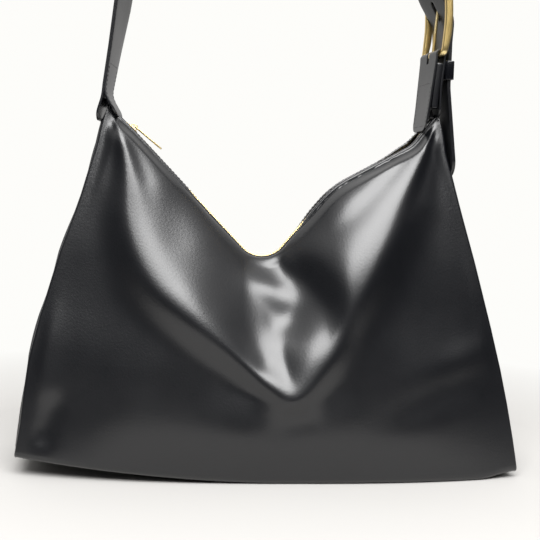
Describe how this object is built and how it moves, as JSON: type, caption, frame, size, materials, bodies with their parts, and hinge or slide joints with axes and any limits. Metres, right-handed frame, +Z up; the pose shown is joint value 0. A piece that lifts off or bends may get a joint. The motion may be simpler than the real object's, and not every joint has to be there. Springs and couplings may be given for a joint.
{
  "type": "hobo bag",
  "caption": "Slouchy leather shoulder bag with a zip dipping between two peaks and one wide strap fastened by a pin buckle.",
  "frame": {"origin": "middle of the underside of the base", "axes": "+Z up, -Y is the front of the bag, +X towards the buckled end of the strap"},
  "size_m": [0.4, 0.132, 0.5879],
  "materials": {
    "leather": "soft smooth black leather, satin",
    "strap_leather": "smooth black leather, satin, stitched edges",
    "keeper_leather": "glossy black leather",
    "gold_metal": "polished gold-coloured metal",
    "zip_metal": "pale gold teeth",
    "zip_tape": "woven black tape",
    "lining": "matt woven lining",
    "board": "plain fibre board"
  },
  "bodies": {
    "bag": {"front_panel": "leather", "back_panel": "leather", "left_gusset": "leather", "right_gusset": "leather", "base_panel": "leather", "base_board": "board", "lining_base": "lining", "lining_front": "lining", "lining_back": "lining", "lining_left": "lining", "lining_right": "lining", "slip_pocket": "lining", "zip_tape_front": "zip_tape", "zip_tape_back": "zip_tape", "zip_facing_front": "leather", "zip_facing_back": "leather", "zip_teeth_front": "zip_metal", "zip_teeth_back": "zip_metal", "zip_top_stops": "zip_metal", "zip_bottom_stop": "zip_metal", "left_peak_tongue": "strap_leather", "right_peak_tongue": "strap_leather", "left_flap_outer": "strap_leather", "left_flap_inner": "strap_leather", "tab_foot_outer": "strap_leather", "tab_foot_inner": "strap_leather"},
    "zip_slider": {"zip_slider": "gold_metal"},
    "zip_pull": {"zip_pull": "gold_metal"},
    "strap": {"strap_outer_layer": "strap_leather", "strap_inner_layer": "strap_leather", "buckle_tab": "strap_leather", "strap_keeper": "keeper_leather"},
    "buckle_frame": {"buckle_frame": "gold_metal"},
    "buckle_prong": {"buckle_prong": "gold_metal"}
  },
  "joints": [
    {"name": "slider_travel", "type": "slide", "parent": "bag", "child": "zip_slider", "axis": [0.6989, 0, -0.7152], "range_m": [0, 0.1]},
    {"name": "pull_swing", "type": "hinge", "parent": "zip_slider", "child": "zip_pull", "pos_m": [-0.11326, 0, 0.27757], "axis": [0, -1, 0], "range_deg": [0, 150]},
    {"name": "strap_swing", "type": "hinge", "parent": "bag", "child": "strap", "pos_m": [0, 0, 0.316], "axis": [1, 0, 0], "range_deg": [-55, 55]},
    {"name": "buckle_tilt", "type": "hinge", "parent": "strap", "child": "buckle_frame", "pos_m": [0.131, 0, 0.343], "axis": [0, 1, 0], "range_deg": [-8, 0]},
    {"name": "prong_lift", "type": "hinge", "parent": "strap", "child": "buckle_prong", "pos_m": [0.131, 0, 0.343], "axis": [0, 1, 0], "range_deg": [0, 3]}
  ]
}
